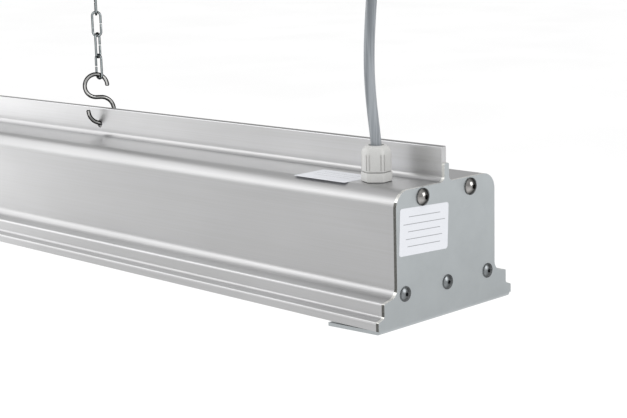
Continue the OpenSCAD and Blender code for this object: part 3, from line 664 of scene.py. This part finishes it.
# The seal's lip shows as a dark ring between the nut's mouth and the cable
def sealLip(settings):
    rings = roundRings(*settings["sealRings"])
    where = onGland(settings, settings["baseHeight"])
    piece = linkMesh("sealLip", ringBody("sealLip", rings, settings["lipSides"], where), sealRubber)
    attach(piece, "lamp")
    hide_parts("gland_seal")


glandBase(gland)
domeNut(gland)
sealLip(gland)
paintNode("gland_washer", sealRubber)
paintNode("gland_locknut", nylon)
paintNode("cable_tail", pvcJacket)
print("gland fitted")

# mm and degrees; tip is the rounding of a wire's ends, sides how many it has round it and overrun how far
# both bows of an S-hook run on
chain = {
    "wire": 2.0, "innerWidth": 5.0, "innerLength": 18.4, "split": 0.6, "tip": 0.25, "sides": 16, "step": 12,
    "firstHeight": -43.44, "pitch": 18.1, "turns": (147.5, 45.5, 114.5, 183.0), "reach": 214.0,
}
sHook = {"wire": 3.6, "upperRadius": 9.8, "lowerRadius": 11.2, "rise": 21.1, "shift": 3.4, "turn": 68.0,
         "upperHeight": -113.8816, "overrun": 4.0, "tip": 0.7, "sides": 24}
ceilingHook = {
    "wire": 3.5, "radius": 9.75, "neck": 4.0, "leg": 3.6, "turn": 57.5, "bowHeight": -26.54,
    "bowSweep": -270, "tip": 0.6, "sides": 24, "collarHeight": 2.0,
    "collarRings": [(-2.0, 5.5), (-1.7, 5.9), (-0.3, 6.0), (0.0, 5.8)],  # height and radius
    "screw": 4.0, "screwLength": 25.0, "pitch": 2.0, "point": 4.5,  # point is the length of the thin tip
    "threadDepth": 0.45, "threadSlope": 2.2, "threadStart": 0.4, "threadEnd": 0.1, "threadSteps": 84,
    "threadSharp": 40,
}
# how the ends of all wires are drawn in, how far the curve keeps clear of them, degrees of a corner
wireForm = {"tipSteps": (0.0, 0.35, 0.7, 1.0), "clear": 1.3, "sharp": 50}


def arcPoints(centre, radius, start, sweep, step=6):
    count = max(2, round(abs(sweep) / step))
    angles = [math.radians(start + sweep * i / count) for i in range(count + 1)]
    return [(centre[0] + radius * math.cos(a), centre[1] + radius * math.sin(a)) for a in angles]


# A curve in an upright plane through the z axis; its ends are drawn in to a small radius
def wireCurve(name, points, place, turn, diameter, tip):
    data = bpy.data.curves.new(name, "CURVE")
    data.dimensions = "3D"
    cosine, sine = math.cos(math.radians(turn)), math.sin(math.radians(turn))
    full = [Vector((x * cosine, x * sine, z)) for x, z in points]
    first, last = (full[1] - full[0]).normalized(), (full[-2] - full[-1]).normalized()

    def drawnIn(end, inwards):
        return [(end + inwards * tip * s, 1 - (1 - s) ** 2 * tip / (diameter / 2))
                for s in wireForm["tipSteps"]]

    room = tip * wireForm["clear"]
    between = [(p, 1.0) for p in full[1:-1] if min((p - full[0]).length, (p - full[-1]).length) > room]
    body = drawnIn(full[0], first) + between + drawnIn(full[-1], last)[::-1]
    spline = data.splines.new("POLY")
    spline.points.add(len(body) - 1)
    for knot, (point, radius) in zip(spline.points, body):
        knot.co = tuple((Vector(place) + point) * mm) + (1.0,)
        knot.radius = radius
    return linkMesh(name, data)


def bendWire(name, points, place, turn, settings, material):
    curve = wireCurve(name, points, place, turn, settings["wire"], settings["tip"])
    useTree(wireTree, curve, {
        "Diameter": settings["wire"] * mm, "Sides": settings["sides"], "Material": material})
    mesh = shapedMesh(curve)
    bpy.data.objects.remove(curve)
    smoothMesh(mesh, wireForm["sharp"])
    return linkMesh(name, mesh)


def linkPoints(settings):
    bow = (settings["innerWidth"] + settings["wire"]) / 2
    half = (settings["innerLength"] - settings["innerWidth"]) / 2
    split = settings["split"] / 2
    points = [(bow, split)] + arcPoints((0, half), bow, 0, 180, settings["step"])
    return points + arcPoints((0, -half), bow, 180, 180, settings["step"]) + [(bow, -split)]


# Two bows and the straight piece that touches both, laid out flat and then turned upright
def sHookPoints(settings):
    upper, lower = settings["upperRadius"], settings["lowerRadius"]
    apart = math.hypot(settings["shift"], settings["rise"])
    turned = -math.atan2(settings["rise"], settings["shift"]) - math.acos((upper + lower) / apart)
    cross = math.sqrt(apart ** 2 - (upper + lower) ** 2)
    sweep = math.degrees(turned) + 360 + settings["overrun"]
    flat = list(reversed(arcPoints((0, 0), upper, 0, -sweep)))
    flat += arcPoints((upper + lower, cross), lower, 180, -sweep)
    cosine, sine = math.cos(turned), math.sin(turned)
    return [(x * cosine - y * sine - settings["shift"], x * sine + y * cosine + settings["upperHeight"])
            for x, y in flat]


def hangChain(side, sign):
    shape = bendWire("linkShape", linkPoints(chain), (0, 0, 0), 0, chain, chainZinc)
    heights = [chain["firstHeight"] - i * chain["pitch"] for i in range(len(chain["turns"]))]
    names = ["top_link_" + side] + ["chain_link_%d_%s" % (number, side) for number in (2, 3, 4)]
    groups = {"top_link_" + side: [0], "chain_" + side: [1, 2, 3]}
    for body, members in groups.items():
        places = [(sign * chain["reach"] * mm, 0, heights[i] * mm) for i in members]
        turns = [(0, 0, math.radians(chain["turns"][i])) for i in members]
        links = runTree(scatterTree, pointPiece("links_" + body, places, turns),
                        {"Shape": shape, "Material": chainZinc}, wireForm["sharp"])
        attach(links, body)
        nodes = [names[i] for i in members]
        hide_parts(*nodes)
    bpy.data.objects.remove(shape)
    place = (sign * chain["reach"], 0, 0)
    hook = bendWire("sHook_" + side, sHookPoints(sHook), place, sHook["turn"], sHook, hookSteel)
    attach(hook, "chain_" + side)
    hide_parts("s_hook_" + side)


# The radius of a wood screw thread that runs to a point
def threadRing(settings, height):
    def radius(angle):
        point = min(1.0, (settings["screwLength"] - height) / settings["point"])
        wave = abs(((height / settings["pitch"] - angle / (2 * math.pi)) % 1.0) * 2 - 1)
        groove = 1 - max(0.0, 1 - wave * settings["threadSlope"])
        return settings["screw"] / 2 * point - settings["threadDepth"] * point * groove
    return radius


# The ceiling hook: bent wire, and a collar with the wood screw above it
def makeCeilingHook(side, sign, settings):
    radius, neck, low = settings["radius"], settings["neck"], settings["bowHeight"]
    points = [(radius, low + settings["leg"])] + arcPoints((0, low), radius, 0, settings["bowSweep"])
    points += arcPoints((0, low + radius + neck), neck, -90, 90)[1:]
    points.append((neck, -settings["collarHeight"] / 2))
    place = (sign * chain["reach"], 0, 0)
    wire = bendWire("ceilingHook_" + side, points, place, settings["turn"], settings, hookSteel)
    rings = roundRings(*settings["collarRings"], (0.0, settings["screw"] / 2))
    start, steps = settings["threadStart"], settings["threadSteps"]
    rise = settings["screwLength"] - settings["threadEnd"] - start
    for i in range(1, steps):
        height = start + rise * i / steps
        rings.append((height, threadRing(settings, height)))
    turn = math.radians(settings["turn"])
    where = Matrix.Translation(((place[0] + neck * math.cos(turn)) * mm, neck * math.sin(turn) * mm, 0))
    mesh = ringBody("hookScrew_" + side, rings, settings["sides"], where, settings["threadSharp"])
    screw = linkMesh("hookScrew_" + side, mesh, hookSteel)
    for piece in (wire, screw):
        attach(piece, "ceiling_fittings")
    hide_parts("ceiling_hook_" + side)


for side, sign in (("right", 1), ("left", -1)):
    hangChain(side, sign)
    makeCeilingHook(side, sign, ceilingHook)
print("chains and hooks hung")

outlet = {"edge": 0.6, "sharp": 35}  # mm of rounding, degrees of a corner
smoothCopy("ceiling_outlet", "ceilingOutlet", outletPlastic, "ceiling_fittings",
           outlet["sharp"], outlet["edge"])

boards = {
    # mm; rowPlace is how far a row is from the middle, pitch runs from one board to the next
    "count": 4, "width": 33.1, "rowPlace": 21.7, "underside": 20.4, "length": 283.75, "pitch": 298.75,
    "chips": 14, "chip": 3.5, "chipHeight": 0.8, "window": 2.6, "windowHeight": 0.1, "windowSides": 12,
    "screwInset": 5.5,  # mm from a board's end to its screws
}
boardScrews = {"head": 5.5, "height": 2.0, "rim": 0.2, "socket": 2.0, "depth": 1.1, "shank": (1.2, 1.4)}


def boardPlaces(settings):
    start = -settings["pitch"] * settings["count"] / 2
    return [(start + (i + 0.5) * settings["pitch"], s * settings["rowPlace"])
            for i in range(settings["count"]) for s in (-1, 1)]


# One small prism at every point: square for the packages, round for their windows
def makeChipTree():
    tree, inputs = newTree("lightSources", [
        ("Width", "Float"), ("Height", "Float"), ("Sides", "Int"), ("Material", "Material")])
    radius = calculate(tree, "MULTIPLY", (inputs, "Width"), 0.5)
    body = addNode(tree, "GeometryNodeMeshCylinder", {
        "Vertices": (inputs, "Sides"), "Radius": (radius, "Value"), "Depth": (inputs, "Height")})
    turned = addNode(tree, "GeometryNodeTransform", {
        "Geometry": (body, "Mesh"), "Rotation": (0, 0, math.pi / 4)})  # four sides then lie square
    copies = addNode(tree, "GeometryNodeInstanceOnPoints", {
        "Points": (inputs, "Geometry"), "Instance": (turned, "Geometry")})
    closeTree(tree, (copies, "Instances"), inputs)
    return tree


# Rows of light sources: the package in white, the phosphor window under it
def placeChips(settings):
    tree = makeChipTree()
    low = lampHeight + settings["underside"]
    step = settings["length"] / settings["chips"]
    places = []
    for x, y in boardPlaces(settings):
        for i in range(settings["chips"]):
            along = x + (i + 0.5) * step - settings["length"] / 2
            places += [(along, y + s * settings["width"] / 4) for s in (-1, 1)]
    height, thin = settings["chipHeight"], settings["windowHeight"]

    def atHeight(z):
        return [(x * mm, y * mm, z * mm) for x, y in places]

    packages = pointPiece("chipPackages", atHeight(low - height / 2))
    runTree(tree, packages, {"Width": settings["chip"] * math.sqrt(2) * mm, "Height": height * mm,
                             "Sides": 4, "Material": chipPackage})
    windows = pointPiece("chipWindows", atHeight(low - height - thin / 2))
    runTree(tree, windows, {"Width": settings["window"] * mm, "Height": thin * mm,
                            "Sides": settings["windowSides"], "Material": phosphor})
    for piece in (packages, windows):
        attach(piece, "lamp")
    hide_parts("light_chips")


def placeBoardScrews(settings, screwSettings):
    reach = settings["length"] / 2 - settings["screwInset"]
    places = [((x + s * reach) * mm, y * mm, (lampHeight + settings["underside"]) * mm)
              for x, y in boardPlaces(settings) for s in (-1, 1)]
    turns = [(0.0, math.pi / 2, 0.0)] * len(places)
    screws = scatterScrews("boardScrews", screwSettings, places, turns, screwSteel)
    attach(screws, "lamp")
    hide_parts("board_screws")


placeChips(boards)
placeBoardScrews(boards, boardScrews)
paintNode("light_boards", solderMask)
paintNode("cover_pane", acrylic)
paintNode("cover_seals", sealRubber)
print("light opening filled")

for nodeName, material in (
        ("driver_case", caseMetal), ("driver_end_caps", capPlastic), ("driver_screws", screwSteel),
        ("terminal_block", blockPlastic), ("terminal_screws", brass), ("earth_screw", brass),
        ("supply_wires", coreInsulation), ("driver_wires", coreInsulation),
        ("output_wires", coreInsulation), ("wire_grommet", sealRubber)):
    paintNode(nodeName, material)
print("driver bay painted")

# mm and degrees; ragged is the share by which the shortest ruled line may fall short
endLabel = {"centre": (600.0, -23.8, -185.38), "width": 49.2, "height": 32.0, "turn": -2.8, "rules": 5,
            "spacing": 5.0, "ruleLength": 42.0, "ruleWidth": 0.5, "firstRule": -6.0, "ragged": 0.5}
topLabel = {"centre": (523.0, -30.5, -156.3815), "width": 50.0, "height": 31.0, "turn": 0.0, "rules": 3,
            "spacing": 5.4, "ruleLength": 40.0, "ruleWidth": 0.35, "firstRule": -7.0, "ragged": 0.3}
labelForm = {"corner": 2.0, "cornerStep": 15, "thickness": 0.12,
             "rim": ((0.0, 0.0), (0.0, 0.7), (0.06, 1.0)),  # mm inwards, share of the thickness
             "inkHeight": 0.02, "inkLift": 0.005, "seed": 5}


def labelMesh(name, settings, matrix):
    shape = bmesh.new()
    wide, high, corner = settings["width"] / 2, settings["height"] / 2, labelForm["corner"]
    outline = []
    for cx, cy, start in ((wide, high, 0), (-wide, high, 90), (-wide, -high, 180), (wide, -high, 270)):
        middle = (cx - math.copysign(corner, cx), cy - math.copysign(corner, cy))
        outline += arcPoints(middle, corner, start, 90, labelForm["cornerStep"])

    def inwards(length, inset):
        return (length - math.copysign(inset, length)) * mm

    rows = []
    for inset, lift in labelForm["rim"]:
        z = lift * labelForm["thickness"] * mm
        rows.append([shape.verts.new((inwards(x, inset), inwards(y, inset), z)) for x, y in outline])
    return closeRows(name, shape, rows, matrix)


# Thin ruled lines, stacked downwards and of uneven length
def makeRuleTree():
    tree, inputs = newTree("ruledLines", [
        ("Count", "Int"), ("Spacing", "Vector"), ("Bar", "Vector"), ("Ragged", "Float"),
        ("Material", "Material")])
    row = addNode(tree, "GeometryNodeMeshLine", {"Count": (inputs, "Count"), "Offset": (inputs, "Spacing")})
    bar = addNode(tree, "GeometryNodeMeshCube", {"Size": (inputs, "Bar")})
    shortest = calculate(tree, "SUBTRACT", 1.0, (inputs, "Ragged"))
    share = addNode(tree, "FunctionNodeRandomValue", {
        2: (shortest, "Value"), 3: 1.0, "Seed": labelForm["seed"]})
    stretch = addNode(tree, "ShaderNodeCombineXYZ", {"X": (share, 1), "Y": 1.0, "Z": 1.0})
    copies = addNode(tree, "GeometryNodeInstanceOnPoints", {
        "Points": (row, "Mesh"), "Instance": (bar, "Mesh"), "Scale": (stretch, "Vector")})
    closeTree(tree, (copies, "Instances"), inputs)
    return tree


ruleTree = makeRuleTree()


# across is the label's width direction, outwards the way that it faces
def placeLabel(name, settings, across, outwards):
    across, outwards = Vector(across), Vector(outwards)
    up = outwards.cross(across)
    facing = Matrix((across, up, outwards)).transposed().to_4x4()
    centre = Matrix.Translation(Vector(settings["centre"]) * mm)
    matrix = centre @ facing @ Matrix.Rotation(math.radians(settings["turn"]), 4, "Z")
    label = linkMesh(name, labelMesh(name, settings, matrix), labelFilm)
    rules = pointPiece(name + "Rules", [(0, 0, 0)])
    runTree(ruleTree, rules, {
        "Count": settings["rules"], "Spacing": (0, -settings["spacing"] * mm, 0), "Material": labelInk,
        "Ragged": settings["ragged"],
        "Bar": (settings["ruleLength"] * mm, settings["ruleWidth"] * mm, labelForm["inkHeight"] * mm)}, 0)
    first = (settings["height"] / 2 + settings["firstRule"]) * mm
    inkPlace = (labelForm["thickness"] + labelForm["inkLift"]) * mm
    rules.data.transform(matrix @ Matrix.Translation((0, first, inkPlace)))
    for piece in (label, rules):
        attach(piece, "lamp")


placeLabel("endLabel", endLabel, (0, 1, 0), (1, 0, 0))
placeLabel("topLabel", topLabel, (1, 0, 0), (0, 0, 1))
print("labels stuck on")

studio = {
    "floorHeight": -1.25, "floorSize": 160.0, "floorColours": ("EDEDED", "F0F0F0"), "floorGlow": 0.16,
    "floorRough": (0.86, 0.94), "floorGrain": (900, 900, 900),
    "worldSeen": 1.0, "worldMirrored": 0.58,  # white to the eye and as light, dimmer where metal mirrors it
    "lamps": [
        # name, place, aim, width, depth, watts
        ("keyBank", (-1.42, -0.9, 0.78), (0.3, 0, -0.2), 2.0, 1.5, 10.1),
        ("leftBank", (-0.3, -2.0, 0.9), (0.2, 0, -0.2), 2.6, 0.7, 6),
        ("farBank", (-3.2, -1.3, -0.2), (0.0, 0, -0.2), 2.0, 1.6, 5.5),
        ("overhead", (0.2, 0.2, 2.2), (0.2, 0, -0.2), 3.0, 2.0, 8),
        ("rightFill", (2.6, 0.6, 0.6), (0.5, 0, -0.2), 1.2, 1.2, 14),
        ("leftGlow", (-0.37, -0.23, -0.25), (-0.05, -0.05, -0.2), 0.22, 0.3, 0.16),
    ],
}


def makeFloor(settings):
    material = makeFinish("paleFloor", *settings["floorColours"], settings["floorRough"],
                          settings["floorGrain"], relief=0.0, detail=1.0)
    tree = material.node_tree
    shader = tree.nodes["Principled BSDF"]
    path = addNode(tree, "ShaderNodeLightPath")
    seen = calculate(tree, "MAXIMUM", (path, "Is Camera Ray"), (path, "Is Transmission Ray"))
    glow = calculate(tree, "MULTIPLY", (seen, "Value"), settings["floorGlow"])
    shader.inputs["Emission Color"].default_value = (1, 1, 1, 1)
    tree.links.new(glow.outputs["Value"], shader.inputs["Emission Strength"])
    half, z = settings["floorSize"] / 2, settings["floorHeight"]
    mesh = bpy.data.meshes.new("studioFloor")
    mesh.from_pydata([(-half, -half, z), (half, -half, z), (half, half, z), (-half, half, z)],
                     [], [(0, 1, 2, 3)])
    linkMesh("studioFloor", mesh, material)


def makeWorld(settings):
    world = bpy.data.worlds.new("whiteStudio")
    world.use_nodes = True
    bpy.context.scene.world = world
    tree = world.node_tree
    path = addNode(tree, "ShaderNodeLightPath")
    level = remap(tree, (path, "Is Glossy Ray"), (0.0, 1.0),
                  (settings["worldSeen"], settings["worldMirrored"]))
    background = tree.nodes["Background"]
    background.inputs["Color"].default_value = (1, 1, 1, 1)
    tree.links.new(level.outputs["Result"], background.inputs["Strength"])


def makeLamps(settings):
    for name, place, aim, width, depth, watts in settings["lamps"]:
        data = bpy.data.lights.new(name, "AREA")
        data.shape = "RECTANGLE"
        data.size, data.size_y, data.energy = width, depth, watts
        lamp = bpy.data.objects.new(name, data)
        lamp.location = place
        lamp.rotation_euler = (Vector(aim) - Vector(place)).to_track_quat("-Z", "Y").to_euler()
        lamp.visible_camera = False
        bpy.context.scene.collection.objects.link(lamp)


makeFloor(studio)
makeWorld(studio)
makeLamps(studio)
bpy.context.scene.view_settings.view_transform = "Standard"
print("studio lit")
